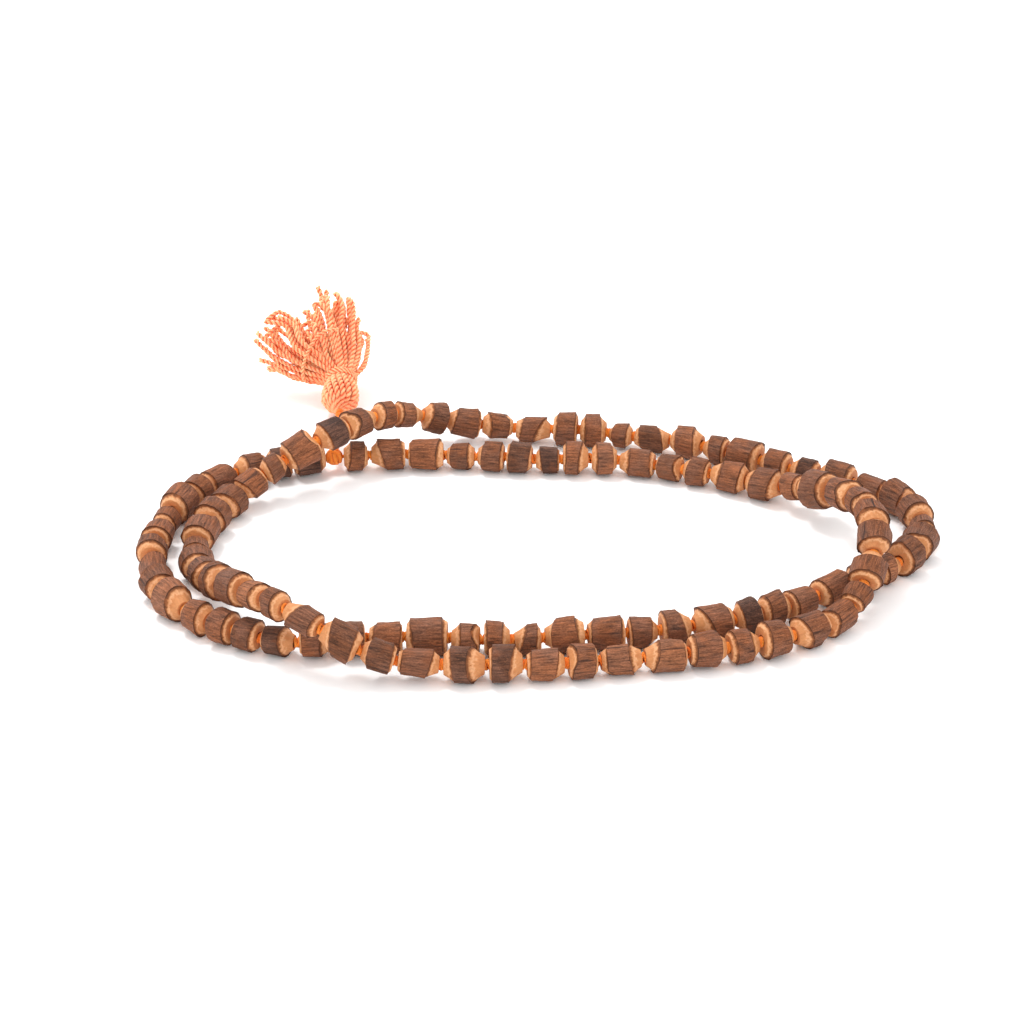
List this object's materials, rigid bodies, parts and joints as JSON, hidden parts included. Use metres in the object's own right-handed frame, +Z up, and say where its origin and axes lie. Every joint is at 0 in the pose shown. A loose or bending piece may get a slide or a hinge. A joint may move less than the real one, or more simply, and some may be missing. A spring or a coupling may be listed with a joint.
{
  "type": "mala prayer beads",
  "caption": "String of bark-covered stem-wood prayer beads on knotted orange cotton, laid doubled in an oval, with a knotted yarn tassel.",
  "frame": {"origin": "middle of the space that the laid string takes up, on the plane that it lies on", "axes": "+Z up, +X along the long way of the oval, tassel at the -X +Y end"},
  "size_m": [0.1899, 0.1664, 0.0299],
  "materials": {
    "stem_wood": "matt brown bark with fine lengthwise grooves, cut back to bare pale wood at both ends",
    "thread": "twisted orange cotton thread",
    "knots": "tight orange cotton knots and doubled thread",
    "tassel_yarn": "soft two-ply orange cotton yarn"
  },
  "bodies": {
    "root": {"thread_loop": "thread", "spacer_knots": "knots", "closing_knot": "knots", "beads_quarter_1": "stem_wood", "beads_quarter_2": "stem_wood", "beads_quarter_3": "stem_wood", "beads_quarter_4": "stem_wood"},
    "bead_002": {"bead_002": "stem_wood"},
    "bead_004": {"bead_004": "stem_wood"},
    "bead_006": {"bead_006": "stem_wood"},
    "bead_008": {"bead_008": "stem_wood"},
    "bead_010": {"bead_010": "stem_wood"},
    "bead_012": {"bead_012": "stem_wood"},
    "bead_014": {"bead_014": "stem_wood"},
    "bead_016": {"bead_016": "stem_wood"},
    "bead_018": {"bead_018": "stem_wood"},
    "bead_020": {"bead_020": "stem_wood"},
    "bead_022": {"bead_022": "stem_wood"},
    "bead_024": {"bead_024": "stem_wood"},
    "bead_029": {"bead_029": "stem_wood"},
    "bead_031": {"bead_031": "stem_wood"},
    "bead_033": {"bead_033": "stem_wood"},
    "bead_035": {"bead_035": "stem_wood"},
    "bead_037": {"bead_037": "stem_wood"},
    "bead_039": {"bead_039": "stem_wood"},
    "bead_041": {"bead_041": "stem_wood"},
    "bead_043": {"bead_043": "stem_wood"},
    "bead_045": {"bead_045": "stem_wood"},
    "bead_047": {"bead_047": "stem_wood"},
    "bead_049": {"bead_049": "stem_wood"},
    "bead_051": {"bead_051": "stem_wood"},
    "bead_056": {"bead_056": "stem_wood"},
    "bead_058": {"bead_058": "stem_wood"},
    "bead_060": {"bead_060": "stem_wood"},
    "bead_062": {"bead_062": "stem_wood"},
    "bead_064": {"bead_064": "stem_wood"},
    "bead_066": {"bead_066": "stem_wood"},
    "bead_068": {"bead_068": "stem_wood"},
    "bead_070": {"bead_070": "stem_wood"},
    "bead_072": {"bead_072": "stem_wood"},
    "bead_074": {"bead_074": "stem_wood"},
    "bead_076": {"bead_076": "stem_wood"},
    "bead_078": {"bead_078": "stem_wood"},
    "bead_083": {"bead_083": "stem_wood"},
    "bead_085": {"bead_085": "stem_wood"},
    "bead_087": {"bead_087": "stem_wood"},
    "bead_089": {"bead_089": "stem_wood"},
    "bead_091": {"bead_091": "stem_wood"},
    "bead_093": {"bead_093": "stem_wood"},
    "bead_095": {"bead_095": "stem_wood"},
    "bead_097": {"bead_097": "stem_wood"},
    "bead_099": {"bead_099": "stem_wood"},
    "bead_101": {"bead_101": "stem_wood"},
    "bead_103": {"bead_103": "stem_wood"},
    "bead_105": {"bead_105": "stem_wood"},
    "neck": {"tassel_neck": "knots"},
    "tassel": {"tassel_head": "tassel_yarn", "tassel_binding": "tassel_yarn", "tassel_skirt": "tassel_yarn"}
  },
  "joints": [
    {"name": "bead_002_spin", "type": "hinge", "parent": "root", "child": "bead_002", "pos_m": [-0.03751, 0.0231, 0.00403], "axis": [0.9983, 0.0583, 0], "continuous": true},
    {"name": "bead_004_spin", "type": "hinge", "parent": "root", "child": "bead_004", "pos_m": [-0.01931, 0.02302, 0.0036], "axis": [0.9984, -0.0567, 0], "continuous": true},
    {"name": "bead_006_spin", "type": "hinge", "parent": "root", "child": "bead_006", "pos_m": [-0.00448, 0.02149, 0.004], "axis": [0.9923, -0.1236, 0], "continuous": true},
    {"name": "bead_008_spin", "type": "hinge", "parent": "root", "child": "bead_008", "pos_m": [0.0094, 0.02071, 0.00426], "axis": [0.9999, 0.0111, 0], "continuous": true},
    {"name": "bead_010_spin", "type": "hinge", "parent": "root", "child": "bead_010", "pos_m": [0.0248, 0.01942, 0.0036], "axis": [0.9719, -0.2356, 0], "continuous": true},
    {"name": "bead_012_spin", "type": "hinge", "parent": "root", "child": "bead_012", "pos_m": [0.03938, 0.01438, 0.00374], "axis": [0.9268, -0.3756, 0], "continuous": true},
    {"name": "bead_014_spin", "type": "hinge", "parent": "root", "child": "bead_014", "pos_m": [0.05565, 0.00639, 0.00432], "axis": [0.8133, -0.5645, 0.1406], "continuous": true},
    {"name": "bead_016_spin", "type": "hinge", "parent": "root", "child": "bead_016", "pos_m": [0.06707, -0.0052, 0.00892], "axis": [0.5301, -0.7766, 0.3404], "continuous": true},
    {"name": "bead_018_spin", "type": "hinge", "parent": "root", "child": "bead_018", "pos_m": [0.07521, -0.0217, 0.01416], "axis": [0.3021, -0.9412, 0.1515], "continuous": true},
    {"name": "bead_020_spin", "type": "hinge", "parent": "root", "child": "bead_020", "pos_m": [0.07677, -0.03834, 0.013], "axis": [-0.1301, -0.9468, -0.2943], "continuous": true},
    {"name": "bead_022_spin", "type": "hinge", "parent": "root", "child": "bead_022", "pos_m": [0.0716, -0.05242, 0.00642], "axis": [-0.498, -0.758, -0.4213], "continuous": true},
    {"name": "bead_024_spin", "type": "hinge", "parent": "root", "child": "bead_024", "pos_m": [0.05975, -0.06392, 0.00408], "axis": [-0.8344, -0.5511, 0], "continuous": true},
    {"name": "bead_029_spin", "type": "hinge", "parent": "root", "child": "bead_029", "pos_m": [0.01734, -0.07586, 0.0036], "axis": [-0.9876, -0.1572, 0], "continuous": true},
    {"name": "bead_031_spin", "type": "hinge", "parent": "root", "child": "bead_031", "pos_m": [0.00082, -0.07802, 0.00361], "axis": [-0.9962, -0.0869, 0], "continuous": true},
    {"name": "bead_033_spin", "type": "hinge", "parent": "root", "child": "bead_033", "pos_m": [-0.01694, -0.07883, 0.00416], "axis": [-0.9998, -0.0014, 0.0194], "continuous": true},
    {"name": "bead_035_spin", "type": "hinge", "parent": "root", "child": "bead_035", "pos_m": [-0.03574, -0.07809, 0.00614], "axis": [-0.9552, 0.0752, 0.2861], "continuous": true},
    {"name": "bead_037_spin", "type": "hinge", "parent": "root", "child": "bead_037", "pos_m": [-0.05222, -0.07346, 0.0127], "axis": [-0.8318, 0.5015, 0.238], "continuous": true},
    {"name": "bead_039_spin", "type": "hinge", "parent": "root", "child": "bead_039", "pos_m": [-0.06361, -0.06317, 0.01263], "axis": [-0.6325, 0.756, -0.1682], "continuous": true},
    {"name": "bead_041_spin", "type": "hinge", "parent": "root", "child": "bead_041", "pos_m": [-0.07351, -0.04945, 0.00855], "axis": [-0.495, 0.823, -0.2785], "continuous": true},
    {"name": "bead_043_spin", "type": "hinge", "parent": "root", "child": "bead_043", "pos_m": [-0.07935, -0.03513, 0.00449], "axis": [-0.2308, 0.964, -0.1321], "continuous": true},
    {"name": "bead_045_spin", "type": "hinge", "parent": "root", "child": "bead_045", "pos_m": [-0.08038, -0.01865, 0.0042], "axis": [0.1617, 0.9868, -0.0084], "continuous": true},
    {"name": "bead_047_spin", "type": "hinge", "parent": "root", "child": "bead_047", "pos_m": [-0.07535, -0.00353, 0.00428], "axis": [0.455, 0.8894, 0.0452], "continuous": true},
    {"name": "bead_049_spin", "type": "hinge", "parent": "root", "child": "bead_049", "pos_m": [-0.06485, 0.00698, 0.00856], "axis": [0.7969, 0.4457, 0.4079], "continuous": true},
    {"name": "bead_051_spin", "type": "hinge", "parent": "root", "child": "bead_051", "pos_m": [-0.0513, 0.01621, 0.01299], "axis": [0.7472, 0.6587, 0.0885], "continuous": true},
    {"name": "bead_056_spin", "type": "hinge", "parent": "root", "child": "bead_056", "pos_m": [-0.01891, 0.03813, 0.00568], "axis": [0.9722, 0.1201, -0.201], "continuous": true},
    {"name": "bead_058_spin", "type": "hinge", "parent": "root", "child": "bead_058", "pos_m": [-0.00104, 0.03791, 0.00364], "axis": [0.9954, -0.0946, -0.0154], "continuous": true},
    {"name": "bead_060_spin", "type": "hinge", "parent": "root", "child": "bead_060", "pos_m": [0.01426, 0.036, 0.00431], "axis": [0.9878, -0.1559, 0], "continuous": true},
    {"name": "bead_062_spin", "type": "hinge", "parent": "root", "child": "bead_062", "pos_m": [0.02919, 0.0329, 0.0036], "axis": [0.9573, -0.289, 0], "continuous": true},
    {"name": "bead_064_spin", "type": "hinge", "parent": "root", "child": "bead_064", "pos_m": [0.04481, 0.026, 0.00379], "axis": [0.8828, -0.4697, 0], "continuous": true},
    {"name": "bead_066_spin", "type": "hinge", "parent": "root", "child": "bead_066", "pos_m": [0.05922, 0.01777, 0.00383], "axis": [0.8637, -0.504, 0], "continuous": true},
    {"name": "bead_068_spin", "type": "hinge", "parent": "root", "child": "bead_068", "pos_m": [0.07361, 0.00963, 0.00435], "axis": [0.8669, -0.4985, 0], "continuous": true},
    {"name": "bead_070_spin", "type": "hinge", "parent": "root", "child": "bead_070", "pos_m": [0.08736, -0.00142, 0.00433], "axis": [0.586, -0.8103, 0], "continuous": true},
    {"name": "bead_072_spin", "type": "hinge", "parent": "root", "child": "bead_072", "pos_m": [0.09122, -0.01602, 0.0036], "axis": [-0.0872, -0.9962, 0], "continuous": true},
    {"name": "bead_074_spin", "type": "hinge", "parent": "root", "child": "bead_074", "pos_m": [0.08555, -0.02992, 0.00435], "axis": [-0.6246, -0.781, 0], "continuous": true},
    {"name": "bead_076_spin", "type": "hinge", "parent": "root", "child": "bead_076", "pos_m": [0.07424, -0.0394, 0.00389], "axis": [-0.8209, -0.571, 0], "continuous": true},
    {"name": "bead_078_spin", "type": "hinge", "parent": "root", "child": "bead_078", "pos_m": [0.05933, -0.05023, 0.0036], "axis": [-0.8264, -0.5631, 0], "continuous": true},
    {"name": "bead_083_spin", "type": "hinge", "parent": "root", "child": "bead_083", "pos_m": [0.02256, -0.06417, 0.00376], "axis": [-0.9887, -0.1501, 0], "continuous": true},
    {"name": "bead_085_spin", "type": "hinge", "parent": "root", "child": "bead_085", "pos_m": [0.00511, -0.06639, 0.00424], "axis": [-0.9937, -0.1117, 0], "continuous": true},
    {"name": "bead_087_spin", "type": "hinge", "parent": "root", "child": "bead_087", "pos_m": [-0.00982, -0.0676, 0.00413], "axis": [-0.9999, -0.0119, 0], "continuous": true},
    {"name": "bead_089_spin", "type": "hinge", "parent": "root", "child": "bead_089", "pos_m": [-0.02537, -0.06682, 0.0043], "axis": [-0.999, 0.0447, 0], "continuous": true},
    {"name": "bead_091_spin", "type": "hinge", "parent": "root", "child": "bead_091", "pos_m": [-0.04206, -0.06711, 0.0039], "axis": [-0.9969, -0.079, 0], "continuous": true},
    {"name": "bead_093_spin", "type": "hinge", "parent": "root", "child": "bead_093", "pos_m": [-0.05823, -0.0677, 0.0036], "axis": [-0.9778, 0.2095, 0], "continuous": true},
    {"name": "bead_095_spin", "type": "hinge", "parent": "root", "child": "bead_095", "pos_m": [-0.07117, -0.06187, 0.00411], "axis": [-0.8475, 0.5309, 0], "continuous": true},
    {"name": "bead_097_spin", "type": "hinge", "parent": "root", "child": "bead_097", "pos_m": [-0.08308, -0.05128, 0.00433], "axis": [-0.5824, 0.8129, 0], "continuous": true},
    {"name": "bead_099_spin", "type": "hinge", "parent": "root", "child": "bead_099", "pos_m": [-0.08999, -0.03493, 0.0036], "axis": [-0.1955, 0.9807, 0], "continuous": true},
    {"name": "bead_101_spin", "type": "hinge", "parent": "root", "child": "bead_101", "pos_m": [-0.09047, -0.01845, 0.00379], "axis": [0.1264, 0.992, 0], "continuous": true},
    {"name": "bead_103_spin", "type": "hinge", "parent": "root", "child": "bead_103", "pos_m": [-0.08703, -0.00397, 0.00434], "axis": [0.3412, 0.94, 0], "continuous": true},
    {"name": "bead_105_spin", "type": "hinge", "parent": "root", "child": "bead_105", "pos_m": [-0.07859, 0.00974, 0.00365], "axis": [0.6943, 0.7197, 0], "continuous": true},
    {"name": "tassel_swing", "type": "hinge", "parent": "root", "child": "neck", "pos_m": [-0.051, 0.022, 0.004], "axis": [0, 0, 1], "range_deg": [-20, 25]},
    {"name": "tassel_lift", "type": "hinge", "parent": "neck", "child": "tassel", "pos_m": [-0.051, 0.0486, 0.004], "axis": [1, 0, 0], "range_deg": [0, 60]}
  ]
}
